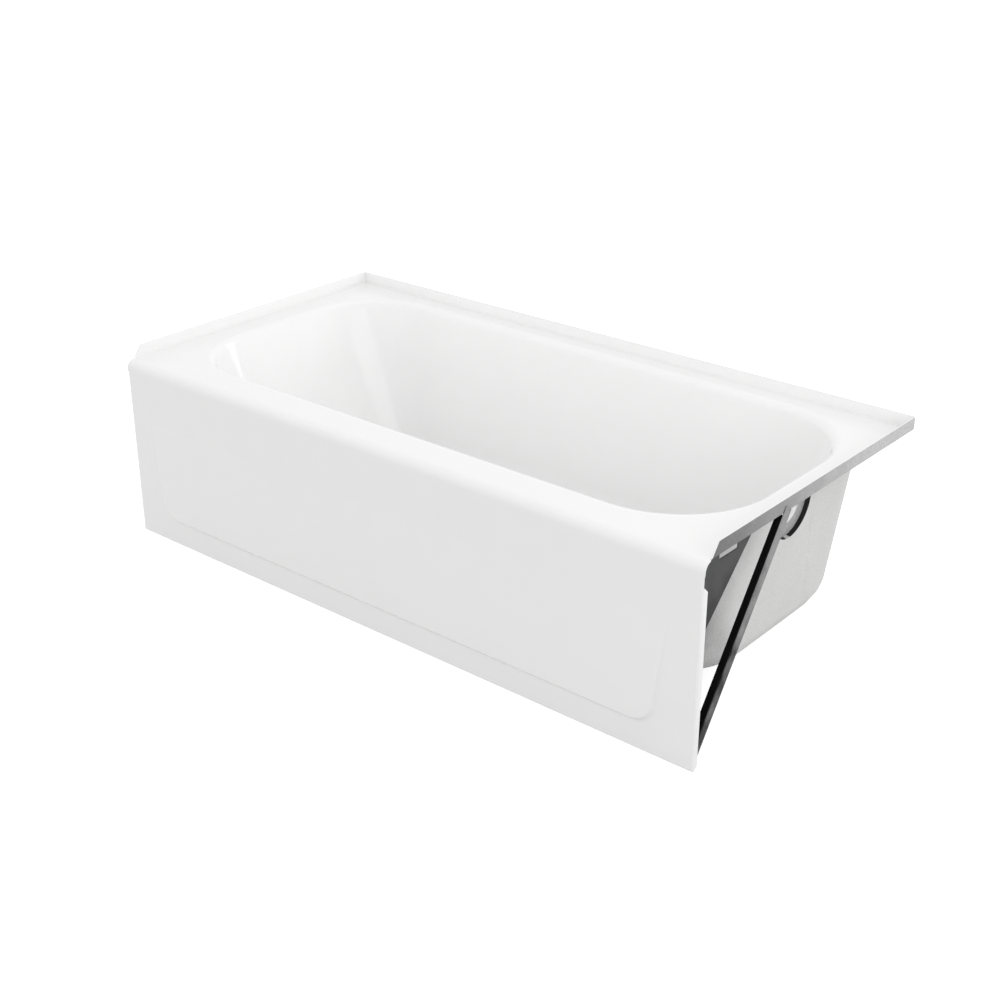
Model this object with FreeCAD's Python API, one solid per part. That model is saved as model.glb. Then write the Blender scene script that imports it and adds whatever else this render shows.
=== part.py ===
import FreeCAD, Part
import math
import os

# Alcove bathtub, 60 x 30 in, right-hand outlet. Millimetres.
# +X runs towards the outlet end, +Y towards the wall behind the bath, +Z up.
# The origin is on the floor, under the middle of the footprint.

Vector = FreeCAD.Vector
X_AXIS = Vector(1, 0, 0)
Y_AXIS = Vector(0, 1, 0)
Z_AXIS = Vector(0, 0, 1)
ORIGIN = Vector(0, 0, 0)

# --- the pressed sheet ---
LENGTH = 1524.0
WIDTH = 762.0
DECK_HEIGHT = 418.0
SHEET = 2.0
TILE_FLANGE_RISE = 27.0
TILE_FLANGE_CREASE = 3.0
TILE_FLANGE_TAPER = 20.0
FRONT_BEND = 20.0

# --- ledges round the opening, from the outer edge of the sheet ---
BACKREST_LEDGE = 68.5
DRAIN_LEDGE = 68.5
BACK_LEDGE = 53.5
FRONT_LEDGE = 98.5

# --- basin: slopes are measured from the vertical ---
BACKREST_SLOPE = math.radians(25.0)
DRAIN_END_SLOPE = math.radians(4.5)
SIDE_SLOPE = math.radians(8.5)
FLOOR_HEIGHT = 60.0
FLOOR_FALL = 0.6
BACKREST_RIM_CORNER = 170.0
BACKREST_FLOOR_CORNER = 76.0
DRAIN_CORNER = 200.0
FLOOR_FILLET = 62.0
RIM_FILLET = 18.0
ROUNDING_STEPS = 6

# --- outlet and overflow ---
BASIN_CENTRE_Y = 25.0
OUTLET_INSET = 115.0
OUTLET_HOLE = 26.0
OUTLET_DISH = 44.0
OUTLET_DISH_FLOOR = 36.0
OUTLET_DISH_DEPTH = 5.0
OVERFLOW_HOLE = 34.0
OVERFLOW_DROP = 64.0

# --- apron ---
PANEL_RELIEF = 6.0
PANEL_BOTTOM = 65.0
PANEL_TOP = 285.0
PANEL_BORDER = 95.0
PANEL_LEAN = math.radians(6.8)
PANEL_CORNER = 50.0
PANEL_STEP = 5.0
APRON_EDGE_BEND = 5.0
APRON_RETURN = 13.0
RETURN_TOP = 371.0
RETURN_MITRE = 10.0

# --- insulating backing and its pad ---
BACKING = 10.0
BOND_GAP = 0.3
BACKING_CORNER = 100.0
BACKING_FOOT_SPREAD = 60.0
BACKING_FOOT_LEVEL = 105.0
ARCH_RADIUS = 62.0
ARCH_DROP = 64.0
OUTLET_CLEARANCE = 19.0
PAD_INSET = 70.0
PAD_OUTLET_CLEARANCE = 90.0
PAD_CORNER = 40.0
PAD_SPREAD = 12.0

# --- end gussets ---
GUSSET = 2.0
GUSSET_INSET = 4.0
GUSSET_LENGTH = 155.0
GUSSET_DEPTH = 158.0
GUSSET_SLOT_LENGTH = 57.0
GUSSET_SLOT_DEPTH = 10.0
GUSSET_SLOT_START = 51.0
GUSSET_SLOT_DROP = 3.0
GUSSET_SLIT = 1.2
GUSSET_CUT_OVER = 2.0
WELD_GAP = 0.1

# --- diagonal braces: rolled steel angle ---
BRACE = 1.8
BRACE_FACE = 22.0
BRACE_LIP = 15.0
BRACE_BEND = 3.0
BRACE_ANGLE = 56.5
BRACE_LAP = 13.0
BRACE_TOP_Y = -127.0
BRACE_LAP_GAP = 0.4
BRACE_FOOT_CLEARANCE = 60.0

# --- lengths and places nearer than this are the same ---
NEAR = 0.01

# --- places that follow from the sizes ---
half_length = LENGTH / 2
back_face = WIDTH / 2
apron_face = PANEL_RELIEF - WIDTH / 2
apron_inside = apron_face + SHEET
deck_underside = DECK_HEIGHT - SHEET
flange_top = DECK_HEIGHT + TILE_FLANGE_RISE
bend_level = DECK_HEIGHT - FRONT_BEND
bend_y = apron_face + FRONT_BEND
rim_left = BACKREST_LEDGE - half_length
rim_right = half_length - DRAIN_LEDGE
rim_back = back_face - BACK_LEDGE
rim_front = apron_face + FRONT_LEDGE
basin_depth = DECK_HEIGHT - FLOOR_HEIGHT
floor_right = rim_right - basin_depth * math.tan(DRAIN_END_SLOPE)
floor_left = rim_left + basin_depth * math.tan(BACKREST_SLOPE)
outlet_x = floor_right - OUTLET_INSET
overflow_z = DECK_HEIGHT - OVERFLOW_DROP
overflow_x = rim_right - OVERFLOW_DROP * math.tan(DRAIN_END_SLOPE)
collar_level = DECK_HEIGHT - RIM_FILLET
clear = max(LENGTH, WIDTH)


def rounded_outline(left, right, front, rear, level, left_corner, right_corner):
    """A level rounded rectangle, with its own corner radius at each end."""
    corners = (
        (left, front, left_corner, 180),
        (right, front, right_corner, 270),
        (right, rear, right_corner, 0),
        (left, rear, left_corner, 90),
    )
    arcs = []
    for x, y, radius, start in corners:
        centre = Vector(
            x + (radius if x == left else -radius),
            y + (radius if y == front else -radius),
            level,
        )
        points = []
        for turn in (0, 45, 90):
            angle = math.radians(start + turn)
            points.append(centre + Vector(math.cos(angle), math.sin(angle), 0) * radius)
        arcs.append((Part.Arc(*points).toShape(), points[0], points[2]))
    edges = []
    for index, (arc, _, end) in enumerate(arcs):
        following = arcs[(index + 1) % len(arcs)][1]
        edges += [arc, Part.makeLine(end, following)]
    return Part.Wire(edges)


def side_prism(outline, from_x, to_x):
    """A closed outline of edges in the YZ plane at x = 0, drawn out along X."""
    face = Part.Face(Part.Wire(outline))
    prism = face.extrude(Vector(to_x - from_x, 0, 0))
    prism.translate(Vector(from_x, 0, 0))
    return prism


def polyline(points):
    """The straight edges that join the points in turn."""
    return [Part.makeLine(a, b) for a, b in zip(points, points[1:])]


def wall_reach(level, slope, grow):
    """How far a wall stands outside its rim line at a level, with rim and floor roundings."""
    rise = level - DECK_HEIGHT
    reach = rise * math.tan(slope) + grow / math.cos(slope)
    rim = RIM_FILLET - grow
    below_deck = DECK_HEIGHT - grow - level
    rim_tangent = rim * math.tan((math.pi / 2 - slope) / 2)
    if below_deck < rim_tangent * math.cos(slope):
        sweep = math.sqrt(max(rim ** 2 - (rim - below_deck) ** 2, 0))
        reach += rim_tangent - sweep + below_deck * math.tan(slope)
    fillet = FLOOR_FILLET + grow
    above_floor = level - (FLOOR_HEIGHT - grow)
    if above_floor < fillet * (1 - math.sin(slope)):
        sweep = math.sqrt(max(fillet ** 2 - (fillet - above_floor) ** 2, 0))
        reach -= (above_floor - fillet) * math.tan(slope) + fillet / math.cos(slope) - sweep
    return reach


def basin_corners(level, grow):
    """Plan radii at one level of the backrest's corners, which taper, and the outlet end's."""
    share = (level + grow - FLOOR_HEIGHT) / basin_depth
    backrest = BACKREST_FLOOR_CORNER + share * (BACKREST_RIM_CORNER - BACKREST_FLOOR_CORNER)
    return backrest, DRAIN_CORNER


def backing_corners(level, grow):
    """Plan radii of the backing's corners: squarer than the basin's, fuller at the outlet's foot."""
    below = (BACKING_FOOT_LEVEL - level) / (BACKING_FOOT_LEVEL + grow - FLOOR_HEIGHT)
    return BACKING_CORNER, BACKING_CORNER + max(below, 0) * BACKING_FOOT_SPREAD


def basin_outline(level, grow, corners_at=basin_corners):
    """The basin's plan at one level, each wall let out by grow."""
    side = wall_reach(level, SIDE_SLOPE, grow)
    rounding = side - (level + grow - DECK_HEIGHT) * math.tan(SIDE_SLOPE)
    left_corner, right_corner = corners_at(level, grow)
    return rounded_outline(
        rim_left - wall_reach(level, BACKREST_SLOPE, grow),
        rim_right + wall_reach(level, DRAIN_END_SLOPE, grow),
        rim_front - side,
        rim_back + side,
        level,
        left_corner + rounding,
        right_corner + rounding,
    )


def walls_between(lower, upper):
    """The solid between two outlines: flat walls, straight corners and tapered corners."""
    faces = [Part.Face(lower), Part.Face(upper)]
    for low, high in zip(lower.Edges, upper.Edges):
        if abs(low.Length - high.Length) < NEAR:
            faces.append(low.extrude(high.Vertexes[0].Point - low.Vertexes[0].Point))
        else:
            faces.append(Part.makeRuledSurface(low, high))
    shell = Part.makeShell(faces)
    shell.sewShape()
    return Part.makeSolid(shell)


def basin_space(grow, corners_at=basin_corners):
    """The room inside the basin, let out by grow on the walls and the floor."""
    turn = math.pi / 2 - min(SIDE_SLOPE, DRAIN_END_SLOPE)
    steps = [turn * step / ROUNDING_STEPS for step in range(ROUNDING_STEPS, -1, -1)]
    floor = []
    for step in steps:
        level = FLOOR_HEIGHT - grow + (FLOOR_FILLET + grow) * (1 - math.cos(step))
        outline = basin_outline(level, grow, corners_at)
        outline.rotate(Vector(outlet_x, 0, level), Y_AXIS, FLOOR_FALL * (1 - step / turn))
        floor.append(outline)
    rim = []
    for step in steps:
        level = DECK_HEIGHT - grow - (RIM_FILLET - grow) * (1 - math.cos(step))
        rim.append(basin_outline(level, grow, corners_at))
    dish = Part.makeCone(
        OUTLET_DISH_FLOOR + grow, OUTLET_DISH + grow, OUTLET_DISH_DEPTH,
        Vector(outlet_x, BASIN_CENTRE_Y, FLOOR_HEIGHT - OUTLET_DISH_DEPTH - grow),
    )
    lower = Part.makeLoft(floor, True, True)
    upper = Part.makeLoft(rim, True, True)
    return walls_between(floor[0], rim[0]).fuse([lower, upper, dish])


def bend_arc(radius, front, level):
    """The quarter turn from the apron's face up to the deck, about the front bend's centre."""
    middle = Vector(0, bend_y, bend_level)
    middle += Vector(0, -math.cos(math.pi / 4), math.sin(math.pi / 4)) * radius
    start = Vector(0, front, bend_level)
    return Part.Arc(start, middle, Vector(0, bend_y, level)).toShape()


def deck_space(grow):
    """The room over the deck, inside the tile flange and in front of the apron."""
    top = flange_top + FRONT_BEND
    front = apron_face + grow
    level = DECK_HEIGHT - grow
    rear = back_face - SHEET + grow
    side = half_length - SHEET + grow
    outline = [bend_arc(FRONT_BEND - grow, front, level)] + polyline([
        Vector(0, bend_y, level),
        Vector(0, bend_y, top),
        Vector(0, apron_face - clear, top),
        Vector(0, apron_face - clear, 0),
        Vector(0, front, 0),
        Vector(0, front, bend_level),
    ])
    over_deck = Part.makeBox(2 * side, rear - bend_y, top - level, Vector(-side, bend_y, level))
    creases = []
    for edge in over_deck.Edges:
        box = edge.BoundBox
        at_back = box.YMin > rear - SHEET
        at_side = box.XMin > side - SHEET or box.XMax < SHEET - side
        at_level = box.ZMax < level + SHEET
        if at_back + at_side + at_level == 2 and not (box.YMax < rear - SHEET and not at_side):
            creases.append(edge)
    over_deck = over_deck.makeFillet(TILE_FLANGE_CREASE + grow, creases)
    return over_deck.fuse(side_prism(outline, -side, side))


def rim_plug():
    """The sheet's thickness over the rim's outline, where the deck turns down into the basin."""
    outline = basin_outline(deck_underside, SHEET)
    return Part.Face(outline).extrude(Z_AXIS * SHEET)


def front_space():
    """The room above the flange's tapered front ends and in front of the apron."""
    taper_y = bend_y + TILE_FLANGE_TAPER
    outline = [bend_arc(FRONT_BEND, apron_face, DECK_HEIGHT)] + polyline([
        Vector(0, bend_y, DECK_HEIGHT),
        Vector(0, taper_y, flange_top),
        Vector(0, taper_y, flange_top + FRONT_BEND),
        Vector(0, apron_face - clear, flange_top + FRONT_BEND),
        Vector(0, apron_face - clear, 0),
        Vector(0, apron_face, 0),
        Vector(0, apron_face, bend_level),
    ])
    return side_prism(outline, -clear, clear)


def overflow_drill(radius):
    """A cylinder square to the outlet end's wall, through the overflow's centre."""
    lean = Vector(math.cos(DRAIN_END_SLOPE), 0, -math.sin(DRAIN_END_SLOPE))
    start = Vector(overflow_x, BASIN_CENTRE_Y, overflow_z) - lean * FLOOR_FILLET
    return Part.makeCylinder(radius, 2 * FLOOR_FILLET, start, lean)


def outlet_drill(radius):
    """An upright cylinder through the floor at the outlet."""
    return Part.makeCylinder(
        radius, 2 * FLOOR_HEIGHT, Vector(outlet_x, BASIN_CENTRE_Y, -FLOOR_HEIGHT / 2)
    )


def make_deck():
    """Ledges, front bend and tile flange: the pressed sheet outside the basin's rim."""
    sheet = deck_space(SHEET).cut(deck_space(0)).cut(rim_plug())
    above = Part.makeBox(2 * clear, 2 * clear, clear, Vector(-clear, -clear, flange_top))
    below = Part.makeBox(
        2 * clear, apron_inside + FRONT_LEDGE / 2 + clear, bend_level + clear,
        Vector(-clear, -clear, -clear),
    )
    return sheet.cut(front_space()).cut(above).cut(below)


def make_basin():
    """The pressed sheet inside the rim, with the outlet's dish and both holes."""
    sheet = basin_space(SHEET).fuse(rim_plug()).cut(basin_space(0))
    return sheet.cut(overflow_drill(OVERFLOW_HOLE)).cut(outlet_drill(OUTLET_HOLE))


def panel_outline(y, grow):
    """The raised panel's outline: leaning sides and rounded foot corners, let out by grow."""
    foot = PANEL_BOTTOM - grow
    half_foot = half_length - PANEL_BORDER + grow
    head = PANEL_TOP + PANEL_CORNER
    half_head = half_foot + (head - foot) * math.tan(PANEL_LEAN)
    tangent = PANEL_CORNER * math.tan((math.pi / 2 - PANEL_LEAN) / 2)
    centre = Vector(half_foot - tangent, y, foot + PANEL_CORNER)
    outward = (Vector(half_foot, y, foot) - centre).normalize()
    right = [
        Vector(half_foot - tangent, y, foot),
        centre + outward * PANEL_CORNER,
        Vector(half_foot + tangent * math.sin(PANEL_LEAN), y, foot + tangent * math.cos(PANEL_LEAN)),
        Vector(half_head, y, head),
    ]
    left = [Vector(-point.x, point.y, point.z) for point in right]
    return Part.Wire([
        Part.Arc(right[0], right[1], right[2]).toShape(),
        Part.makeLine(right[2], right[3]),
        Part.makeLine(right[3], left[3]),
        Part.makeLine(left[3], left[2]),
        Part.Arc(left[2], left[1], left[0]).toShape(),
        Part.makeLine(left[0], right[0]),
    ])


def apron_relief():
    """The raised panel: proud along its foot and fading out towards its top."""
    face = apron_face - PANEL_RELIEF
    outlines = [panel_outline(apron_face, PANEL_STEP), panel_outline(face, 0)]
    block = Part.makeLoft(outlines, True, True)
    slope = polyline([
        Vector(0, face, PANEL_BOTTOM),
        Vector(0, apron_face, PANEL_TOP),
        Vector(0, apron_face, clear),
        Vector(0, face - SHEET, clear),
        Vector(0, face - SHEET, PANEL_BOTTOM),
        Vector(0, face, PANEL_BOTTOM),
    ])
    return block.cut(side_prism(slope, -clear, clear))


def apron_block(grow):
    """The apron's outside as a block with rounded upright and foot edges, taken in by grow."""
    side = half_length - grow
    block = Part.makeBox(
        2 * side, FRONT_LEDGE, bend_level + clear - grow,
        Vector(-side, apron_face + grow, grow),
    )
    edges = []
    for edge in block.Edges:
        box = edge.BoundBox
        at_front = box.YMax < apron_face + grow + NEAR
        if at_front and (box.ZLength > bend_level or box.ZMax < bend_level):
            edges.append(edge)
    return block.makeFillet(APRON_EDGE_BEND - grow, edges)


def make_apron():
    """Straight apron with its raised panel, end returns and foot return."""
    relief = apron_relief()
    hollow = relief.copy()
    hollow.translate(Vector(0, SHEET, 0))
    skin = apron_block(0).fuse(relief).cut(apron_block(SHEET).fuse(hollow))
    keep = Part.makeBox(
        2 * clear, APRON_RETURN + clear, bend_level,
        Vector(-clear, apron_face - clear, 0),
    )
    skin = skin.common(keep)
    rear = apron_face + APRON_RETURN
    relief_cut = polyline([
        Vector(0, apron_inside, RETURN_TOP),
        Vector(0, rear + SHEET, RETURN_TOP - APRON_RETURN),
        Vector(0, rear + SHEET, clear),
        Vector(0, apron_inside, clear),
        Vector(0, apron_inside, RETURN_TOP),
    ])
    mitre = polyline([
        Vector(0, rear - RETURN_MITRE, 0),
        Vector(0, rear, RETURN_MITRE),
        Vector(0, rear + SHEET, RETURN_MITRE),
        Vector(0, rear + SHEET, -SHEET),
        Vector(0, rear - RETURN_MITRE, -SHEET),
        Vector(0, rear - RETURN_MITRE, 0),
    ])
    for side in (-1, 1):
        for outline in (relief_cut, mitre):
            inner = side * (half_length - APRON_RETURN)
            outer = side * (half_length + SHEET)
            skin = skin.cut(side_prism(outline, min(inner, outer), max(inner, outer)))
    return skin


def make_basin_backing():
    """Insulating composite moulded round the outside of the basin."""
    outside = SHEET + BOND_GAP + BACKING
    block = basin_space(outside, backing_corners)
    collar = Part.Face(basin_outline(collar_level, outside, backing_corners))
    collar = collar.extrude(Z_AXIS * (deck_underside - BOND_GAP - collar_level))
    layer = block.fuse(collar).cut(basin_space(SHEET + BOND_GAP))
    arch_centre = DECK_HEIGHT - ARCH_DROP
    arch = Part.makeCylinder(
        ARCH_RADIUS, half_length, Vector(outlet_x, BASIN_CENTRE_Y, arch_centre), X_AXIS
    )
    legs = Part.makeBox(
        half_length, 2 * ARCH_RADIUS, clear,
        Vector(outlet_x, BASIN_CENTRE_Y - ARCH_RADIUS, arch_centre),
    )
    hole = outlet_drill(OUTLET_HOLE + OUTLET_CLEARANCE)
    return layer.cut(arch.fuse(legs)).cut(hole)


def make_support_pad():
    """Pad between the floor of the building and the basin's backing."""
    left = floor_left + PAD_INSET
    right = outlet_x - PAD_OUTLET_CLEARANCE
    front = rim_front + basin_depth * math.tan(SIDE_SLOPE) + PAD_INSET
    rear = rim_back - basin_depth * math.tan(SIDE_SLOPE) - PAD_INSET
    foot = rounded_outline(
        left - PAD_SPREAD, right + PAD_SPREAD, front - PAD_SPREAD, rear + PAD_SPREAD, 0,
        PAD_CORNER + PAD_SPREAD, PAD_CORNER + PAD_SPREAD,
    )
    head = rounded_outline(left, right, front, rear, 2 * FLOOR_HEIGHT, PAD_CORNER, PAD_CORNER)
    block = Part.makeLoft([foot, head], True, True)
    return block.cut(basin_space(SHEET + 2 * BOND_GAP + BACKING, backing_corners))


def make_right_gusset():
    """Triangular plate that stiffens the corner between the deck and the apron."""
    front = apron_inside + WELD_GAP
    top = deck_underside - WELD_GAP
    outline = [bend_arc(FRONT_BEND - SHEET - WELD_GAP, front, top)] + polyline([
        Vector(0, bend_y, top),
        Vector(0, front + GUSSET_LENGTH, top),
        Vector(0, front, top - GUSSET_DEPTH),
        Vector(0, front, bend_level),
    ])
    outer = half_length - SHEET - GUSSET_INSET
    plate = side_prism(outline, outer - GUSSET, outer)
    slot_top = top - GUSSET_SLOT_DROP
    slot_y = front + GUSSET_SLOT_START
    through = GUSSET + 2 * GUSSET_CUT_OVER
    start = outer - GUSSET - GUSSET_CUT_OVER
    slot = Part.makeBox(
        through, GUSSET_SLOT_LENGTH, GUSSET_SLOT_DEPTH,
        Vector(start, slot_y, slot_top - GUSSET_SLOT_DEPTH),
    )
    slit = Part.makeBox(
        through, GUSSET_SLIT, GUSSET_SLOT_DEPTH + 2 * GUSSET_SLOT_DROP,
        Vector(start, slot_y + GUSSET_SLOT_LENGTH, slot_top - GUSSET_SLOT_DEPTH),
    )
    return plate.cut(slot).cut(slit)


def make_right_brace():
    """Steel angle from the foot of the apron to the outer face of the tile flange."""
    run = 2 * DECK_HEIGHT
    flat = Part.makeBox(BRACE, BRACE_FACE, run, Vector(-BRACE, 0, -run))
    lip = Part.makeBox(BRACE_LIP, BRACE, run, Vector(-BRACE_LIP, 0, -run))
    angle = flat.fuse(lip).removeSplitter()
    heel = [
        edge for edge in angle.Edges
        if edge.BoundBox.ZLength > DECK_HEIGHT
        and abs(edge.BoundBox.XMax) < NEAR and abs(edge.BoundBox.YMax) < NEAR
    ]
    angle = angle.makeFillet(BRACE_BEND, heel)
    angle.rotate(ORIGIN, X_AXIS, BRACE_ANGLE - 90)
    lap_z = DECK_HEIGHT + BRACE_LAP
    lean = math.degrees(math.atan((BRACE + SHEET + WELD_GAP) / (lap_z - BRACE_FOOT_CLEARANCE)))
    angle.rotate(ORIGIN, Y_AXIS, lean)
    top_y = BRACE_TOP_Y + BRACE_LAP / math.tan(math.radians(BRACE_ANGLE))
    top_x = half_length + BRACE + BRACE_LAP_GAP
    angle.translate(Vector(top_x, top_y, lap_z))
    ahead = Part.makeBox(
        2 * clear, clear, 2 * clear, Vector(0, apron_inside + WELD_GAP - clear, -clear)
    )
    beneath = Part.makeBox(2 * clear, clear, clear, Vector(0, -clear / 2, SHEET + WELD_GAP - clear))
    over_deck = Part.makeBox(
        clear, clear, clear,
        Vector(half_length + WELD_GAP - clear, -clear / 2, deck_underside - WELD_GAP),
    )
    return angle.cut(ahead).cut(beneath).cut(over_deck)


def mirrored(shape):
    """The same piece at the other end of the bath."""
    return shape.mirror(ORIGIN, X_AXIS)


def build():
    """Every piece by its name."""
    right_gusset = make_right_gusset()
    right_brace = make_right_brace()
    return {
        "basin": make_basin(),
        "deck": make_deck(),
        "apron": make_apron(),
        "basin_backing": make_basin_backing(),
        "support_pad": make_support_pad(),
        "right_gusset": right_gusset,
        "left_gusset": mirrored(right_gusset),
        "right_brace": right_brace,
        "left_brace": mirrored(right_brace),
    }


os.makedirs("parts", exist_ok=True)
for name, shape in build().items():
    shape.exportStep(f"parts/{name}.step")
    box = shape.BoundBox
    print(
        f"{name}: solids {len(shape.Solids)}, valid {shape.isValid()}, "
        f"volume {shape.Volume / 1000:.1f} cm3, x {box.XMin:.1f} {box.XMax:.1f}, "
        f"y {box.YMin:.1f} {box.YMax:.1f}, z {box.ZMin:.1f} {box.ZMax:.1f}"
    )
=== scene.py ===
import math

import bmesh
import bpy
from mathutils import Matrix, Vector


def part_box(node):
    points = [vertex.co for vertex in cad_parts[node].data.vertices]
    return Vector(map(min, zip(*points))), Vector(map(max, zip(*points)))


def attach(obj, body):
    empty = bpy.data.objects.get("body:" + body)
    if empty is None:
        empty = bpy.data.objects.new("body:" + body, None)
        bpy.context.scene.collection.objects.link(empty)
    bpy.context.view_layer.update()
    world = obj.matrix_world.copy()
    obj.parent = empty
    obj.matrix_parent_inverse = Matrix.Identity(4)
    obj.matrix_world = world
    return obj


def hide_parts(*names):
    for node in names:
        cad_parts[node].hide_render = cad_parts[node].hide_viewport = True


bl_info = {
    "name": "Alcove Bathtub",
    "version": (1, 0, 0),
    "blender": (4, 5, 0),
    "location": "3D View > Sidebar > Bathtub",
    "description": "Finishes an enamelled steel alcove bathtub on its packed frame",
    "category": "Object",
}

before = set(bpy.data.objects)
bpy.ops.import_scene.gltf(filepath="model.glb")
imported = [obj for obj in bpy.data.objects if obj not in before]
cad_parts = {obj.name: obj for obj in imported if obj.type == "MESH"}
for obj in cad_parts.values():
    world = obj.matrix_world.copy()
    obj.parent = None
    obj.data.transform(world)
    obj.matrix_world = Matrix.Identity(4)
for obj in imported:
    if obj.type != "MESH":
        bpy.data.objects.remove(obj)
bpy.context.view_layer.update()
BODY = "root"

# Distances in metres: points that count as level with a line, points that are joined, in a
# mesh of the scene's own and in a copy from the frame, and edges too short to keep.
NEAR = 1e-4
WELD = 1e-6
CAD_WELD = 5e-6
SLIVER = 1e-5

# How far a face is turned, by its normal, and where the backing's outlet end begins.
ENDWAYS = 0.7
LEG_ENDWAYS = 0.6
PARTLY_ENDWAYS = 0.5
TURNED_ASIDE = 0.3
LEVEL = 0.995
OUTLET_HALF = 0.5

# Weight of large faces over small ones where the shading is evened out.
LARGE_FACES = 60


# --- sizes, colours and the studio, which a user can change ---

def length(name, default, description):
    """A size in metres."""
    return bpy.props.FloatProperty(
        name=name, description=description, default=default, min=0.0, unit="LENGTH",
    )


def angle(name, degrees, description):
    """An angle, given in degrees."""
    return bpy.props.FloatProperty(
        name=name, description=description, default=math.radians(degrees), subtype="ANGLE",
    )


def vector(name, default, description):
    """A place or a size in space, in metres."""
    return bpy.props.FloatVectorProperty(
        name=name, description=description, default=default, size=3, subtype="TRANSLATION",
        unit="LENGTH",
    )


def tone(name, default, description):
    """An opaque colour, as linear red, green and blue."""
    return bpy.props.FloatVectorProperty(
        name=name, description=description, default=default + (1.0,), size=4, subtype="COLOR",
        min=0.0, max=1.0,
    )


def number(name, default, description, unit="NONE"):
    """A plain number that can't go below zero."""
    return bpy.props.FloatProperty(
        name=name, description=description, default=default, min=0.0, unit=unit,
    )


class BathSheet(bpy.types.PropertyGroup):
    """Sizes of the pressed sheet: ledges from its outer edge, slopes from the vertical."""

    thickness: length("Thickness", 0.002, "Thickness of the enamelled sheet")
    flange_crease: length("Flange crease", 0.003, "Radius where the tile flange turns up")
    flange_taper: length("Flange taper", 0.020, "Length of the flange's sloping front ends")
    front_bend: length("Front bend", 0.020, "Radius of the bend from ledge to apron")
    apron_lap: length("Apron lap", 0.006, "How far the bend's foot runs down the apron")
    backrest_ledge: length("Backrest ledge", 0.0685, "Ledge at the backrest end")
    outlet_ledge: length("Outlet ledge", 0.0685, "Ledge at the outlet end")
    back_ledge: length("Back ledge", 0.0535, "Ledge along the wall")
    front_ledge: length("Front ledge", 0.0985, "Ledge along the apron")
    floor_height: length("Floor height", 0.060, "Height of the basin's floor at the outlet")
    rim_fillet: length("Rim rounding", 0.018, "Radius from ledge to basin wall")
    floor_fillet: length("Floor rounding", 0.062, "Radius from basin wall to floor")
    backrest_rim_corner: length("Backrest corner", 0.170, "Plan radius of the backrest at the rim")
    backrest_floor_corner: length("Backrest foot corner", 0.076, "The same at the floor")
    outlet_corner: length("Outlet corner", 0.200, "Plan radius of the outlet end's corners")
    centre_y: length("Outlet line", 0.025, "Distance of both holes from the bath's middle line")
    outlet_inset: length("Outlet inset", 0.115, "Outlet's distance from the floor's end")
    outlet_hole: length("Outlet hole", 0.026, "Radius of the waste hole")
    dish: length("Outlet dish", 0.044, "Radius of the dish round the outlet")
    dish_floor: length("Dish floor", 0.036, "Radius of the dish's flat floor")
    dish_depth: length("Dish depth", 0.005, "Depth of the dish")
    overflow_hole: length("Overflow hole", 0.034, "Radius of the overflow hole")
    overflow_drop: length("Overflow drop", 0.064, "Overflow's depth below the ledges")
    backrest_slope: angle("Backrest slope", 25.0, "Lean of the backrest")
    outlet_slope: angle("Outlet end slope", 4.5, "Lean of the outlet end")
    side_slope: angle("Side slope", 8.5, "Lean of both long walls")
    floor_fall: angle("Floor fall", 0.6, "Fall of the floor towards the outlet")


class BathApron(bpy.types.PropertyGroup):
    """Sizes of the apron, its raised panel and its returns."""

    relief: length("Relief", 0.006, "How far the panel's foot stands proud")
    panel_foot: length("Panel foot", 0.065, "Height of the panel's foot line")
    panel_head: length("Panel head", 0.285, "Height at which the panel has faded out")
    panel_border: length("Panel border", 0.095, "Distance from the panel's foot to the apron's end")
    panel_corner: length("Panel corner", 0.050, "Radius of the panel's foot corners")
    panel_step: length("Panel step", 0.010, "Width of the pressed step round the panel")
    panel_groove: length("Panel groove", 0.0012, "Depth of the crease in the panel's step")
    edge_bend: length("Edge bend", 0.005, "Radius of the apron's upright and foot edges")
    return_depth: length("Return depth", 0.013, "Depth of the end and foot returns")
    return_head: length("Return head", 0.371, "Height where the end returns stop")
    return_mitre: length("Return mitre", 0.010, "Corner cut from the returns at the foot")
    panel_lean: angle("Panel lean", 6.8, "Lean of the panel's ends")


class BathEdges(bpy.types.PropertyGroup):
    """Roundings where the sheet and the plates were cut, and the angles that tell edges."""

    enamel_edge: length("Enamelled edge", 0.0006, "Rounding of the enamel over cut edges")
    plate_edge: length("Plate edge", 0.0004, "Rounding of the gussets' and braces' cut edges")
    crease_angle: angle("Crease angle", 28.0, "Faces that meet at more than this stay sharp")
    cut_angle: angle("Cut angle", 60.0, "Faces of the sheet that meet at more are a cut edge")
    fold_angle: angle("Fold angle", 80.0, "Faces of the ledges that meet at more are a fold")
    flat_angle: angle("Flat angle", 0.5, "Faces of a plate that meet at less are one face")


class BathBacking(bpy.types.PropertyGroup):
    """Places on the moulded backing that get a form of their own or a painted shade."""

    arch_reach: length("Arch reach", 0.0646, "Distance from the overflow that holds the arch")
    groove_top: vector("Groove top", (0.0, 0.094, 0.400), "Upper point of the end's groove")
    groove_foot: vector("Groove foot", (0.0, 0.131, 0.080), "Lower point of the end's groove")
    groove_side: length("Groove side", 0.004, "Width of each side of the groove")
    groove_depth: length("Groove depth", 0.0015, "Depth of the groove")
    # Grey painted shade at the backing's lower front corner, between apron and basin.
    shade_place: vector("Stain place", (0.62, -0.25, 0.10), "Middle of the grey stain")
    shade_core: length("Stain core", 0.03, "Distance within which the stain is full")
    shade_reach: length("Stain reach", 0.16, "Distance at which the stain has faded out")


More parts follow.
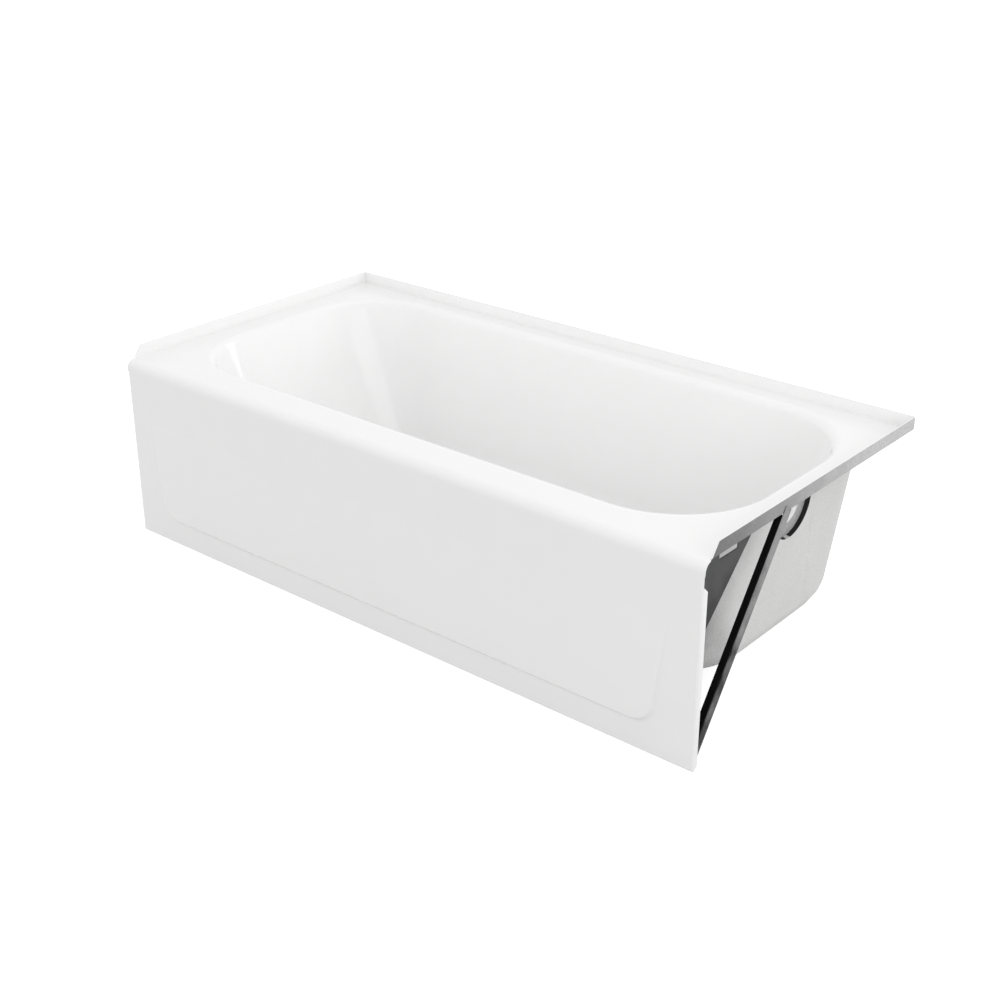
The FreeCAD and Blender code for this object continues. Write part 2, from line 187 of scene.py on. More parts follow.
class BathFinish(bpy.types.PropertyGroup):
    """Colours and gloss of the bath's finishes, with the painted light and shade among them."""

    enamel: tone("Enamel", (0.935, 0.935, 0.933), "White porcelain enamel")
    enamel_roughness: number("Enamel roughness", 0.085, "Roughness of the enamel's surface")
    backing: tone("Backing", (0.76, 0.76, 0.755), "Off-white moulded composite")
    # Colour of the painted shade at the backing's lower front corner.
    corner_shade: tone("Stain", (0.30, 0.30, 0.30), "Grey stain at the backing's lower front corner")
    foam: tone("Foam", (0.80, 0.80, 0.78), "White foam pad under the basin")
    ground_coat: tone("Ground coat", (0.012, 0.012, 0.013), "Dark enamel of the gussets' feet")
    ground_coat_pale: tone(
        "Ground coat, pale", (0.045, 0.045, 0.047), "The gussets' enamel near the ledge"
    )
    # Painted shade: black for the braces' face and the arch's cut edge, which lie in shadow.
    brace_black: tone(
        "Brace black", (0.0045, 0.0045, 0.0050), "Black of the braces and the arch's cut edge"
    )
    # Painted light: the braces' outer leg, paler towards the ledge where it is lit.
    brace_lit: tone("Brace, pale", (0.30, 0.30, 0.30), "The braces' outer leg near the ledge")
    gusset_low: length("Gusset low", 0.29, "Height up to which the gussets are dark")
    gusset_high: length("Gusset high", 0.40, "Height from which the gussets are pale")
    brace_low: length("Brace low", 0.05, "Height up to which the braces' outer leg is dark")
    brace_high: length("Brace high", 0.42, "Height from which that leg is pale")
    gusset_roughness: number("Gusset roughness", 0.36, "Roughness of the gussets' enamel")
    shade_roughness: number("Black roughness", 0.5, "Roughness of the braces' black face")
    leg_roughness: number("Leg roughness", 0.4, "Roughness of the braces' outer leg")
    gusset_shine: number("Gusset shine", 0.15, "Specular level of the gussets' enamel")
    shade_shine: number("Black shine", 0.12, "Specular level of the braces' black face")
    leg_shine: number("Leg shine", 0.2, "Specular level of the braces' outer leg")
    sheet_back: tone("Sheet back", (0.11, 0.11, 0.114), "First coat on the sheet's outer side")
    # Painted reflection: the pale tone laid over the sheet's outer side towards the wall.
    sheet_reflection: tone("Sheet dust", (0.56, 0.56, 0.56), "White dust on the sheet's outer side")


class BathStudio(bpy.types.PropertyGroup):
    """Camera, lamps and background; each lamp has its place, aim, size and power."""

    camera_place: vector("Camera place", (1.9813, -2.3631, 1.6202), "Where the camera stands")
    camera_turn: angle("Camera turn", -39.91, "Heading, from +Y towards +X")
    camera_tilt: angle("Camera tilt", 25.19, "How far the camera looks down")
    lens: number("Lens", 56.53, "Focal length of the lens, in millimetres")
    sensor: number("Sensor", 36.0, "Width of the camera's sensor, in millimetres")
    camera_reach: length("Camera reach", 100.0, "Distance beyond which the camera sees nothing")
    sky: number("Sky", 1.25, "Brightness of the studio's even light at the horizon")
    zenith: number("Zenith", 0.77, "Brightness of the same light straight overhead")
    key_place: vector("Key lamp place", (0.3, 0.9, 2.6), "Where the lamp over the bath hangs")
    key_aim: vector("Key lamp aim", (0.1, 0.0, 0.3), "What the lamp over the bath lights")
    key_size: vector("Key lamp size", (2.4, 0.5, 0.0), "Width and height of that lamp")
    key: number("Key lamp", 1.0, "Power of the long lamp over the bath", "POWER")
    end_place: vector("End lamp place", (2.9, -0.4, 1.4), "Where the lamp off the outlet end stands")
    end_aim: vector("End lamp aim", (-0.5, 0.2, 0.3), "What the lamp off the outlet end lights")
    end_size: vector("End lamp size", (2.8, 0.9, 0.0), "Width and height of that lamp")
    end: number("End lamp", 8.0, "Power of the wide lamp off the outlet end", "POWER")
    wall_place: vector("Wall lamp place", (0.9, 3.0, 1.5), "Where the lamp behind the bath stands")
    wall_aim: vector("Wall lamp aim", (-0.5, -0.2, 0.3), "What the lamp behind the bath lights")
    wall_size: vector("Wall lamp size", (1.2, 0.9, 0.0), "Width and height of that lamp")
    wall: number("Wall lamp", 8.0, "Power of the lamp behind the bath", "POWER")
    floor_reach: length("Floor reach", 30.0, "Distance from the floor's middle to its edge")
    glow: number("Floor glow", 0.80, "White that the floor adds where it is seen")
    floor: tone("Floor", (0.52, 0.52, 0.52), "Floor, greyer in its light than it looks")


# --- node groups: effects that several finishes share ---

def new_group(name, sockets_in, sockets_out):
    """An empty shader group with its sockets, and its input and output nodes."""
    group = bpy.data.node_groups.new(name, "ShaderNodeTree")
    for label, kind, default in sockets_in:
        socket = group.interface.new_socket(name=label, in_out="INPUT", socket_type=kind)
        socket.default_value = default
    for label, kind in sockets_out:
        group.interface.new_socket(name=label, in_out="OUTPUT", socket_type=kind)
    entry = group.nodes.new("NodeGroupInput")
    leave = group.nodes.new("NodeGroupOutput")
    return group, entry, leave


def noise(tree, place, scale, detail=2.0, roughness=0.5, distortion=0.0):
    """A noise texture on the coordinates that the place socket gives."""
    node = tree.nodes.new("ShaderNodeTexNoise")
    node.inputs["Detail"].default_value = detail
    node.inputs["Roughness"].default_value = roughness
    node.inputs["Distortion"].default_value = distortion
    if isinstance(scale, (int, float)):
        node.inputs["Scale"].default_value = scale
    else:
        tree.links.new(scale, node.inputs["Scale"])
    tree.links.new(place, node.inputs["Vector"])
    return node.outputs["Fac"]


def math_node(tree, operation, first, second=None, clamp=False):
    """One Math node; each operand is a socket or a number."""
    node = tree.nodes.new("ShaderNodeMath")
    node.operation = operation
    node.use_clamp = clamp
    for index, value in enumerate((first, second)):
        if value is None:
            continue
        if isinstance(value, (int, float)):
            node.inputs[index].default_value = value
        else:
            tree.links.new(value, node.inputs[index])
    return node.outputs[0]


def spread(tree, value, low, high, to_low=0.0, to_high=1.0):
    """Stretches a value from one range to another and keeps it there."""
    node = tree.nodes.new("ShaderNodeMapRange")
    node.inputs["From Min"].default_value = low
    node.inputs["From Max"].default_value = high
    node.inputs["To Min"].default_value = to_low
    node.inputs["To Max"].default_value = to_high
    tree.links.new(value, node.inputs["Value"])
    return node.outputs["Result"]


def tint(tree, colour, mask, low, high):
    """A colour made lighter or darker by a mask: times low at 0, times high at 1."""
    scale = spread(tree, mask, 0.0, 1.0, low, high)
    node = tree.nodes.new("ShaderNodeVectorMath")
    node.operation = "SCALE"
    tree.links.new(colour, node.inputs[0])
    tree.links.new(scale, node.inputs["Scale"])
    return node.outputs[0]


def make_waviness_group():
    """Slow waves of poured enamel and the fine ripple that fired glass keeps."""
    group, entry, leave = new_group(
        "enamel_waviness",
        [("Vector", "NodeSocketVector", (0.0, 0.0, 0.0)), ("Ripple Scale", "NodeSocketFloat", 260.0)],
        [("Height", "NodeSocketFloat"), ("Mottle", "NodeSocketFloat")],
    )
    slow = noise(group, entry.outputs["Vector"], 5.0, 2.0)
    ripple = noise(group, entry.outputs["Vector"], entry.outputs["Ripple Scale"], 1.0)
    faint = math_node(group, "MULTIPLY", ripple, 0.04)
    group.links.new(math_node(group, "ADD", slow, faint), leave.inputs["Height"])
    group.links.new(noise(group, entry.outputs["Vector"], 14.0, 4.0), leave.inputs["Mottle"])
    return group


def make_grain_group():
    """Coarse grain of a moulded or sprayed surface, with pits and a cloudy tone."""
    group, entry, leave = new_group(
        "moulded_grain",
        [
            ("Vector", "NodeSocketVector", (0.0, 0.0, 0.0)),
            ("Grain Scale", "NodeSocketFloat", 420.0),
            ("Cloud Scale", "NodeSocketFloat", 9.0),
        ],
        [("Height", "NodeSocketFloat"), ("Speck", "NodeSocketFloat"), ("Cloud", "NodeSocketFloat")],
    )
    place = entry.outputs["Vector"]
    fine = noise(group, place, entry.outputs["Grain Scale"], 3.0, 0.65)
    pits = group.nodes.new("ShaderNodeTexVoronoi")
    pits.feature = "F1"
    group.links.new(place, pits.inputs["Vector"])
    group.links.new(
        math_node(group, "MULTIPLY", entry.outputs["Grain Scale"], 0.45), pits.inputs["Scale"]
    )
    dent = spread(group, pits.outputs["Distance"], 0.05, 0.45)
    height = math_node(group, "ADD", math_node(group, "MULTIPLY", fine, 0.7),
                       math_node(group, "MULTIPLY", dent, 0.3))
    group.links.new(height, leave.inputs["Height"])
    group.links.new(spread(group, fine, 0.35, 0.65), leave.inputs["Speck"])
    group.links.new(noise(group, place, entry.outputs["Cloud Scale"], 3.0), leave.inputs["Cloud"])
    return group


def make_height_fade_group():
    """A mask that is 1 at a low level of the bath and fades out above it."""
    group, entry, leave = new_group(
        "height_fade",
        [
            ("Vector", "NodeSocketVector", (0.0, 0.0, 0.0)),
            ("Low", "NodeSocketFloat", 0.0),
            ("High", "NodeSocketFloat", 0.1),
        ],
        [("Fade", "NodeSocketFloat")],
    )
    split = group.nodes.new("ShaderNodeSeparateXYZ")
    group.links.new(entry.outputs["Vector"], split.inputs[0])
    node = group.nodes.new("ShaderNodeMapRange")
    node.interpolation_type = "SMOOTHSTEP"
    group.links.new(split.outputs["Z"], node.inputs["Value"])
    group.links.new(entry.outputs["Low"], node.inputs["From Min"])
    group.links.new(entry.outputs["High"], node.inputs["From Max"])
    node.inputs["To Min"].default_value = 1.0
    node.inputs["To Max"].default_value = 0.0
    group.links.new(node.outputs["Result"], leave.inputs["Fade"])
    return group


def blend(tree, mask, first, second):
    """The first colour where the mask is 0 and the second where it is 1."""
    mix = tree.nodes.new("ShaderNodeMix")
    mix.data_type = "RGBA"
    tree.links.new(mask, mix.inputs["Factor"])
    for socket, colour in ((mix.inputs[6], first), (mix.inputs[7], second)):
        if isinstance(colour, bpy.types.NodeSocket):
            tree.links.new(colour, socket)
        else:
            socket.default_value = colour
    return mix.outputs[2]


# --- finishes ---

def new_material(name):
    """A material with its shader, and the socket that gives Object coordinates."""
    material = bpy.data.materials.new(name)
    material.use_nodes = True
    tree = material.node_tree
    shader = tree.nodes["Principled BSDF"]
    place = tree.nodes.new("ShaderNodeTexCoord").outputs["Object"]
    return material, tree, shader, place


def use_group(tree, group, place, **values):
    """Places a group in a material and sets its numbers."""
    node = tree.nodes.new("ShaderNodeGroup")
    node.node_tree = group
    tree.links.new(place, node.inputs["Vector"])
    for label, value in values.items():
        node.inputs[label.replace("_", " ")].default_value = value
    return node


def rgb(tree, colour):
    """A colour as a socket, to be varied over the surface before it is used."""
    node = tree.nodes.new("ShaderNodeRGB")
    node.outputs[0].default_value = colour
    return node.outputs[0]


def bump(tree, shader, height, distance, strength=1.0):
    """Gives the shader a bump of that depth in metres."""
    node = tree.nodes.new("ShaderNodeBump")
    node.inputs["Distance"].default_value = distance
    node.inputs["Strength"].default_value = strength
    tree.links.new(height, node.inputs["Height"])
    tree.links.new(node.outputs["Normal"], shader.inputs["Normal"])


def group_named(name, maker):
    """The shared group, made the first time it is asked for."""
    return bpy.data.node_groups.get(name) or maker()


def enamel_material(finish):
    """Fired white glass on steel: glossy, a little wavy, with a faint cloud in its tone."""
    found = bpy.data.materials.get("white_enamel")
    if found:
        return found
    material, tree, shader, place = new_material("white_enamel")
    waves = use_group(tree, group_named("enamel_waviness", make_waviness_group), place)
    colour = tint(tree, rgb(tree, finish.enamel), waves.outputs["Mottle"], 0.985, 1.012)
    tree.links.new(colour, shader.inputs["Base Color"])
    gloss = spread(
        tree, waves.outputs["Mottle"], 0.3, 0.7,
        finish.enamel_roughness * 0.85, finish.enamel_roughness * 1.2,
    )
    tree.links.new(gloss, shader.inputs["Roughness"])
    shader.inputs["IOR"].default_value = 1.5
    bump(tree, shader, waves.outputs["Height"], 0.0012, 0.35)
    return material


def backing_material(finish, backing):
    """Off-white moulded composite with an open grain, with painted shade at its lower front corner."""
    material, tree, shader, place = new_material("moulded_backing")
    grain = use_group(tree, group_named("moulded_grain", make_grain_group), place)
    # Painted shade: grey and patchy, fading out with distance from the lower front corner.
    reach = tree.nodes.new("ShaderNodeVectorMath")
    reach.operation = "DISTANCE"
    tree.links.new(place, reach.inputs[0])
    reach.inputs[1].default_value = backing.shade_place
    corner_shade = math_node(
        tree, "MULTIPLY",
        spread(tree, reach.outputs["Value"], backing.shade_core, backing.shade_reach, 1.0, 0.0),
        spread(tree, grain.outputs["Cloud"], 0.35, 0.6),
    )
    shaded = blend(tree, corner_shade, finish.backing, finish.corner_shade)
    clouds = tint(tree, shaded, grain.outputs["Cloud"], 0.94, 1.06)
    specks = tint(tree, clouds, grain.outputs["Speck"], 0.90, 1.06)
    tree.links.new(specks, shader.inputs["Base Color"])
    rough = spread(tree, grain.outputs["Speck"], 0.0, 1.0, 0.75, 0.55)
    tree.links.new(rough, shader.inputs["Roughness"])
    shader.inputs["Specular IOR Level"].default_value = 0.35
    bump(tree, shader, grain.outputs["Height"], 0.0010, 0.8)
    return material


def arch_edge_material(finish):
    """Painted shade: black on the cut edge of the backing's arch."""
    material, tree, shader, place = new_material("arch_edge_black")
    grain = use_group(
        tree, group_named("moulded_grain", make_grain_group), place,
        Grain_Scale=300.0, Cloud_Scale=30.0,
    )
    colour = tint(tree, rgb(tree, finish.brace_black), grain.outputs["Speck"], 0.6, 1.6)
    tree.links.new(colour, shader.inputs["Base Color"])
    tree.links.new(
        spread(tree, grain.outputs["Cloud"], 0.2, 0.8, 0.45, 0.7), shader.inputs["Roughness"]
    )
    bump(tree, shader, grain.outputs["Height"], 0.0004, 0.5)
    return material


def foam_material(finish):
    """Cut foam with the beads showing."""
    material, tree, shader, place = new_material("white_foam")
    grain = use_group(
        tree, group_named("moulded_grain", make_grain_group), place,
        Grain_Scale=180.0, Cloud_Scale=6.0,
    )
    colour = tint(tree, rgb(tree, finish.foam), grain.outputs["Speck"], 0.92, 1.03)
    tree.links.new(colour, shader.inputs["Base Color"])
    rough = spread(tree, grain.outputs["Cloud"], 0.0, 1.0, 0.8, 0.95)
    tree.links.new(rough, shader.inputs["Roughness"])
    bump(tree, shader, grain.outputs["Height"], 0.0010, 0.6)
    return material


def ground_coat_material(name, foot, head, levels, roughness, specular):
    """Dark first coat of enamel, mottled where it ran and paler towards the ledge; on the braces the
    paler part is painted light.
    """
    found = bpy.data.materials.get(name)
    if found:
        return found
    material, tree, shader, place = new_material(name)
    grain = use_group(
        tree, group_named("moulded_grain", make_grain_group), place,
        Grain_Scale=520.0, Cloud_Scale=24.0,
    )
    fade = use_group(
        tree, group_named("height_fade", make_height_fade_group), place,
        Low=levels[0], High=levels[1],
    )
    patchy = spread(tree, grain.outputs["Cloud"], 0.3, 0.7, -0.35, 0.35)
    low_down = math_node(tree, "ADD", fade.outputs["Fade"], patchy, clamp=True)
    clouds = tint(tree, blend(tree, low_down, head, foot), grain.outputs["Cloud"], 0.7, 1.3)
    specks = tint(tree, clouds, grain.outputs["Speck"], 0.75, 1.3)
    tree.links.new(specks, shader.inputs["Base Color"])
    rough = spread(tree, grain.outputs["Cloud"], 0.25, 0.75, roughness * 0.8, roughness * 1.25)
    tree.links.new(rough, shader.inputs["Roughness"])
    shader.inputs["Specular IOR Level"].default_value = specular
    bump(tree, shader, grain.outputs["Height"], 0.0003, 0.5)
    return material


def sheet_back_material(finish):
    """Outer side of the sheet: grey first coat, with a painted reflection that grows paler towards the
    wall.
    """
    found = bpy.data.materials.get("sheet_back")
    if found:
        return found
    material, tree, shader, place = new_material("sheet_back")
    grain = use_group(
        tree, group_named("moulded_grain", make_grain_group), place,
        Grain_Scale=300.0, Cloud_Scale=22.0,
    )
    # Painted reflection of the bright surroundings, patchy and paler towards the wall.
    split = tree.nodes.new("ShaderNodeSeparateXYZ")
    tree.links.new(place, split.inputs[0])
    towards_wall = spread(tree, split.outputs["Y"], -0.36, 0.20)
    patchy = math_node(tree, "MULTIPLY", grain.outputs["Cloud"], 0.5)
    reflection = math_node(tree, "ADD", towards_wall, math_node(tree, "SUBTRACT", patchy, 0.25), clamp=True)
    reflected = blend(tree, reflection, finish.sheet_back, finish.sheet_reflection)
    specks = tint(tree, reflected, grain.outputs["Speck"], 0.85, 1.15)
    tree.links.new(specks, shader.inputs["Base Color"])
    rough = spread(tree, grain.outputs["Cloud"], 0.25, 0.75, 0.35, 0.6)
    tree.links.new(rough, shader.inputs["Roughness"])
    bump(tree, shader, grain.outputs["Height"], 0.0003, 0.4)
    return material


# --- pieces ---

def merged_copy(node):
    """A copy of a frame node's mesh with its loose triangles joined."""
    bm = bmesh.new()
    bm.from_mesh(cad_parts[node].data)
    bmesh.ops.remove_doubles(bm, verts=bm.verts, dist=CAD_WELD)
    return bm


def flatten(bm, limit):
    """Joins triangles that lie in one plane into single faces."""
    bmesh.ops.dissolve_limit(
        bm, angle_limit=limit, use_dissolve_boundaries=False,
        verts=bm.verts, edges=bm.edges,
    )


def round_edges(bm, width, crease, chosen=None, segments=2):
    """Rounds the edges that turn by more than the crease angle."""
    edges = [
        edge for edge in bm.edges
        if edge.is_manifold and edge.calc_face_angle(0.0) > crease
        and (chosen is None or chosen(edge))
    ]
    bmesh.ops.bevel(
        bm, geom=edges, offset=width, offset_type="OFFSET", segments=segments,
        affect="EDGES", profile=0.5, material=-1, clamp_overlap=True,
    )
    bmesh.ops.dissolve_degenerate(bm, dist=SLIVER, edges=bm.edges)


def place_piece(bm, name, nodes, material, crease):
    """Writes the mesh as a piece that stands for its nodes and rides with the bath."""
    for face in bm.faces:
        face.smooth = True
    for edge in bm.edges:
        edge.smooth = edge.calc_face_angle(0.0) < crease
    mesh = bpy.data.meshes.new(name)
    bm.to_mesh(mesh)
    bm.free()
    piece = bpy.data.objects.new(name, mesh)
    bpy.context.scene.collection.objects.link(piece)
    mesh.materials.append(material)
    normals = piece.modifiers.new("Even normals", "WEIGHTED_NORMAL")
    normals.mode = "FACE_AREA"
    normals.weight = LARGE_FACES
    normals.keep_sharp = True
    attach(piece, BODY)
    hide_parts(*nodes)
    return piece


def made(geom, kind):
    """The parts of one kind among what an operator returned."""
    return [part for part in geom if isinstance(part, kind)]


def linked_edges(verts):
    """The edges of these vertices, each once and in an order that stays the same."""
    return list(dict.fromkeys(edge for vert in verts for edge in vert.link_edges))


def next_ring(bm, ring):
    """Extrudes a ring of edges, and gives the new ring's edges and vertices."""
    geom = bmesh.ops.extrude_edge_only(bm, edges=ring)["geom"]
    verts = made(geom, bmesh.types.BMVert)
    fresh = set(verts)
    edges = [
        edge for edge in made(geom, bmesh.types.BMEdge)
        if edge.verts[0] in fresh and edge.verts[1] in fresh
    ]
    return edges, verts


class Basin:
    """Places that the sheet's sizes give to the basin's walls, floor and holes."""

    CREASE_STEPS = 4
    BEND_STEPS = 10
    CORNER_STEPS = 18
    RIM_STEPS = 8
    WALL_STEPS = 3
    FLOOR_STEPS = 12
    DISH_STEPS = 5
    HOLE_STEPS = 48
    OVERFLOW_BAND = 1.25

    def __init__(self, sheet):
        low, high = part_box("deck")
        self.sheet = sheet
        self.outer_x = high[0]
        self.back = high[1]
        self.apron_face = low[1]
        self.flange_top = high[2]
        self.bend_level = low[2]
        self.deck = self.bend_level + sheet.front_bend
        self.left = sheet.backrest_ledge - self.outer_x
        self.right = self.outer_x - sheet.outlet_ledge
        self.rear = self.back - sheet.back_ledge
        self.front = self.apron_face + sheet.front_ledge
        self.depth = self.deck - sheet.floor_height
        floor_end = self.right - self.depth * math.tan(sheet.outlet_slope)
        self.outlet = Vector((floor_end - sheet.outlet_inset, sheet.centre_y, sheet.floor_height))
        self.overflow = Vector((
            self.right - sheet.overflow_drop * math.tan(sheet.outlet_slope),
            sheet.centre_y, self.deck - sheet.overflow_drop,
        ))
        self.steepest = math.pi / 2 - min(sheet.side_slope, sheet.outlet_slope)

    def reach(self, level, slope):
        """How far a wall stands outside its rim line, with its roundings at rim and floor."""
        below = self.deck - level
        reach = -below * math.tan(slope)
        rim = self.sheet.rim_fillet
        tangent = rim * math.tan((math.pi / 2 - slope) / 2)
        if below < tangent * math.cos(slope):
            sweep = math.sqrt(max(rim ** 2 - (rim - below) ** 2, 0.0))
            reach += tangent - sweep + below * math.tan(slope)
        fillet = self.sheet.floor_fillet
        above = level - self.sheet.floor_height
        if above < fillet * (1.0 - math.sin(slope)):
            sweep = math.sqrt(max(fillet ** 2 - (fillet - above) ** 2, 0.0))
            reach -= (above - fillet) * math.tan(slope) + fillet / math.cos(slope) - sweep
        return reach

    def plan_point(self, step, level):
        """One point of the basin's plan at a level, counted round from the outlet's rear corner."""
        sheet = self.sheet
        corner, turn = divmod(step, self.CORNER_STEPS + 1)
        at_outlet = corner in (0, 3)
        at_rear = corner in (0, 1)
        side = self.reach(level, sheet.side_slope)
        radius = side + (self.deck - level) * math.tan(sheet.side_slope)
        if at_outlet:
            radius += sheet.outlet_corner
            x = self.right + self.reach(level, sheet.outlet_slope) - radius
        else:
            share = (level - sheet.floor_height) / self.depth
            radius += sheet.backrest_floor_corner
            radius += share * (sheet.backrest_rim_corner - sheet.backrest_floor_corner)
            x = self.left - self.reach(level, sheet.backrest_slope) + radius
        y = self.rear + side - radius if at_rear else self.front - side + radius
        heading = (corner + turn / self.CORNER_STEPS) * math.pi / 2
        return Vector((x + radius * math.cos(heading), y + radius * math.sin(heading), level))

    def levels(self):
        """Each ring's level with its share of the floor's fall, from the ledges down."""
        sheet = self.sheet
        levels = []
        for step in range(self.RIM_STEPS + 1):
            turn = self.steepest * step / self.RIM_STEPS
            levels.append((self.deck - sheet.rim_fillet * (1.0 - math.cos(turn)), 0.0))
        band = self.overflow.z - self.OVERFLOW_BAND * sheet.overflow_hole
        floor_top = sheet.floor_height + sheet.floor_fillet * (1.0 - math.cos(self.steepest))
        for step in range(self.WALL_STEPS):
            levels.append((band + (floor_top - band) * step / self.WALL_STEPS, 0.0))
        for step in range(self.FLOOR_STEPS, -1, -1):
            turn = self.steepest * step / self.FLOOR_STEPS
            level = sheet.floor_height + sheet.floor_fillet * (1.0 - math.cos(turn))
            levels.append((level, 1.0 - step / self.FLOOR_STEPS))
        return levels


def lay_ledges(bm, basin, fold_angle):
    """Ledges, tile flange and front bend; gives the edges that the basin's rim joins."""
    sheet = basin.sheet
    side = basin.outer_x - sheet.thickness
    rear = basin.back - sheet.thickness
    front = basin.apron_face + sheet.front_bend
    verts = bmesh.ops.create_grid(bm, x_segments=1, y_segments=1, size=1.0)["verts"]
    bmesh.ops.scale(bm, vec=(side, (rear - front) / 2, 1.0), verts=verts)
    bmesh.ops.translate(bm, vec=(0.0, (rear + front) / 2, basin.deck), verts=verts)
    ledge = bm.faces[:]
    upright = [edge for edge in bm.edges if max(v.co.y for v in edge.verts) > front + NEAR]
    top, raised = next_ring(bm, upright)
    bmesh.ops.translate(bm, vec=(0.0, 0.0, basin.flange_top - basin.deck), verts=raised)
    bmesh.ops.inset_region(
        bm, faces=ledge, thickness=4 * sheet.flange_crease, use_boundary=True, use_even_offset=True,
    )
    inner = list(dict.fromkeys(edge for face in ledge for edge in face.edges))
    bmesh.ops.delete(bm, geom=ledge, context="FACES_ONLY")
    creases = [
        edge for edge in bm.edges
        if edge.is_manifold and edge.calc_face_angle(0.0) > fold_angle
    ]
    bmesh.ops.bevel(
        bm, geom=creases, offset=sheet.flange_crease, offset_type="OFFSET",
        segments=basin.CREASE_STEPS, affect="EDGES", profile=0.5, material=-1,
    )
    rise = basin.flange_top - basin.deck
    bmesh.ops.bisect_plane(
        bm, geom=bm.verts[:] + bm.edges[:] + bm.faces[:], dist=WELD,
        plane_co=(0.0, front, basin.deck), plane_no=(0.0, -rise, sheet.flange_taper),
        clear_outer=True,
    )
    fold = [
        edge for edge in bm.edges
        if edge.is_boundary and all(
            abs(v.co.y - front) < NEAR and abs(v.co.z - basin.deck) < NEAR for v in edge.verts
        )
    ]
    bmesh.ops.spin(
        bm, geom=fold, cent=(0.0, front, basin.bend_level), axis=(1.0, 0.0, 0.0),
        dvec=(0.0, 0.0, 0.0), angle=math.pi / 2, steps=basin.BEND_STEPS, use_merge=False,
        use_duplicate=False, use_normal_flip=False,
    )
    foot = [
        edge for edge in bm.edges
        if all(abs(v.co.z - basin.bend_level) < NEAR for v in edge.verts)
    ]
    _, lapped = next_ring(bm, foot)
    bmesh.ops.translate(bm, vec=(0.0, 0.0, -sheet.apron_lap), verts=lapped)
    for vert in bm.verts:
        if vert.co.z < basin.deck - NEAR and abs(vert.co.x) > side - 2 * sheet.flange_crease:
            vert.co.x = math.copysign(basin.outer_x, vert.co.x)
    return [edge for edge in inner if edge.is_valid]


def sink_basin(bm, basin, inner):
    """Rim, walls and floor as rings from the ledges down, with both holes."""
    sheet = basin.sheet
    steps = bm.verts.layers.int.new("ring_step")
    count = 4 * (basin.CORNER_STEPS + 1)
    verts = bmesh.ops.create_circle(bm, segments=count, radius=1.0)["verts"]
    ring = linked_edges(verts)
    for step, vert in enumerate(verts):
        vert[steps] = step
    for index, (level, fall) in enumerate(basin.levels()):
        if index == 0:
            fresh = verts
        else:
            ring, fresh = next_ring(bm, ring)
        for vert in fresh:
            vert.co = basin.plan_point(vert[steps], level)
        bmesh.ops.rotate(
            bm, verts=fresh, cent=(basin.outlet.x, 0.0, level),
            matrix=Matrix.Rotation(sheet.floor_fall * fall, 3, "Y"),
        )
        if index == 0:
            bmesh.ops.triangle_fill(bm, edges=inner + ring, use_beauty=True, normal=(0.0, 0.0, 1.0))
            ring = [edge for edge in ring if edge.is_valid]
    sink_dish(bm, basin, ring)
    cut_overflow(bm, basin)


def sink_dish(bm, basin, floor):
    """The floor itself and the shallow dish that holds the waste's flange."""
    sheet = basin.sheet
    fall = Matrix.Rotation(sheet.floor_fall, 4, "Y")
    verts = bmesh.ops.create_circle(
        bm, segments=basin.HOLE_STEPS, radius=sheet.dish,
        matrix=Matrix.Translation(basin.outlet) @ fall,
    )["verts"]
    ring = linked_edges(verts)
    bmesh.ops.triangle_fill(bm, edges=floor + ring, use_beauty=True, normal=(0.0, 0.0, 1.0))
    radius, depth = sheet.dish, 0.0
    for step in range(1, basin.DISH_STEPS + 2):
        share = min(step / basin.DISH_STEPS, 1.0)
        wide = sheet.dish + (sheet.dish_floor - sheet.dish) * share
        deep = sheet.dish_depth * share * share * (3.0 - 2.0 * share)
        if step > basin.DISH_STEPS:
            wide = sheet.outlet_hole
        ring, fresh = next_ring(bm, ring)
        bmesh.ops.scale(
            bm, vec=(wide / radius, wide / radius, 1.0), verts=fresh,
            space=Matrix.Translation(-basin.outlet),
        )
        bmesh.ops.translate(bm, vec=(0.0, 0.0, depth - deep), verts=fresh)
        radius, depth = wide, deep


def cut_overflow(bm, basin):
    """The overflow's round hole in the flat of the outlet end's wall."""
    sheet = basin.sheet
    lean = Vector((math.cos(sheet.outlet_slope), 0.0, -math.sin(sheet.outlet_slope)))
    flat = min(
        (face for face in bm.faces if len(face.verts) == 4),
        key=lambda face: (face.calc_center_median() - basin.overflow).length,
    )
    frame_edges = list(flat.edges)
    bmesh.ops.delete(bm, geom=[flat], context="FACES_ONLY")
    verts = bmesh.ops.create_circle(
        bm, segments=basin.HOLE_STEPS, radius=sheet.overflow_hole,
        matrix=Matrix.Translation(basin.overflow) @ lean.to_track_quat("Z", "Y").to_matrix().to_4x4(),
    )["verts"]
    ring = linked_edges(verts)
    bmesh.ops.triangle_fill(bm, edges=frame_edges + ring, use_beauty=True, normal=lean)


